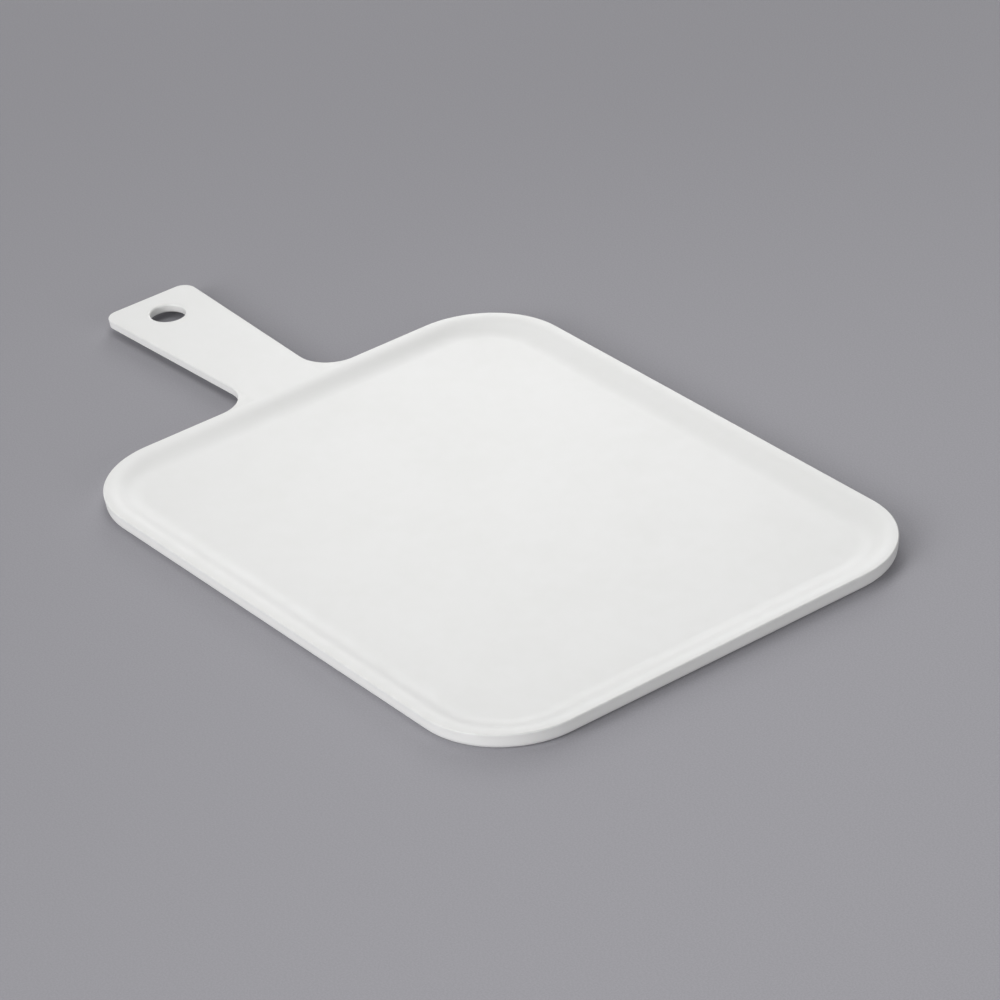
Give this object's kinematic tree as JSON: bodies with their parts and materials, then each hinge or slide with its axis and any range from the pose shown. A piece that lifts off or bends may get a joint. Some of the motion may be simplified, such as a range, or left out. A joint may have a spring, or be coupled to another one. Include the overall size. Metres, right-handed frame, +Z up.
{
  "type": "serving board",
  "caption": "Shallow rectangular serving board with a raised rim, rounded corners and a flat flared handle with a hanging hole.",
  "frame": {"origin": "centre of the whole board's footprint, handle included, on the plane that its underside rests on", "axes": "+X along the board away from the handle, +Y across the board, +Z up out of the recess"},
  "size_m": [0.4394, 0.2538, 0.0079],
  "materials": {
    "melamine_white": "satin moulded melamine, white"
  },
  "bodies": {
    "root": {"serving_board": "melamine_white"}
  },
  "joints": []
}
